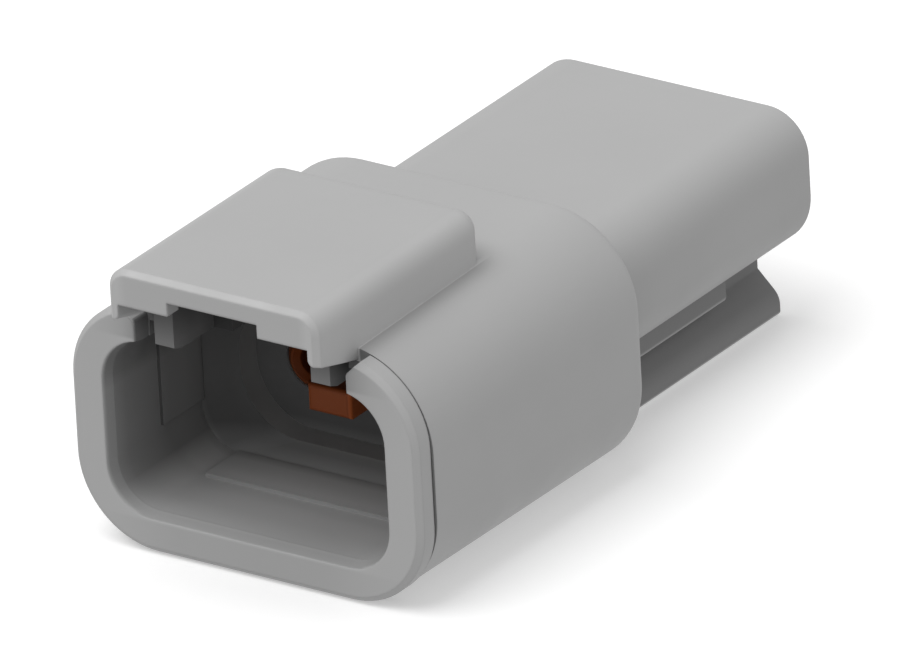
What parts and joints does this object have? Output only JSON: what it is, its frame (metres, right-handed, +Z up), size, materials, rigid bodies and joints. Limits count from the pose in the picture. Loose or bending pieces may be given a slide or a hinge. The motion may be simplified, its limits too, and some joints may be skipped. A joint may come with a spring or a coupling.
{
  "type": "sealed automotive connector",
  "caption": "Sealed receptacle housing with an open mating mouth, latch hood, withdrawable wedge lock, rear wire seal and a clip rail under its body.",
  "frame": {"origin": "midway between the two contact axes, in the plane of the rim's front face", "axes": "+Y from the mouth to the wires, +Z up towards the latch hood, +X across the mouth"},
  "size_m": [0.025, 0.0475, 0.0192],
  "materials": {
    "grey_housing": "moulded grey thermoplastic, matt with a fine even grain",
    "orange_wedge": "moulded orange thermoplastic, satin",
    "silicone_seal": "moulded silicone rubber, soft sheen"
  },
  "bodies": {
    "shell": {"housing": "grey_housing", "wire_seal": "silicone_seal"},
    "wedge": {"wedge_lock": "orange_wedge"}
  },
  "joints": [
    {"name": "wedge_slide", "type": "slide", "parent": "shell", "child": "wedge", "axis": [0, -1, 0], "range_m": [0, 0.009]}
  ]
}
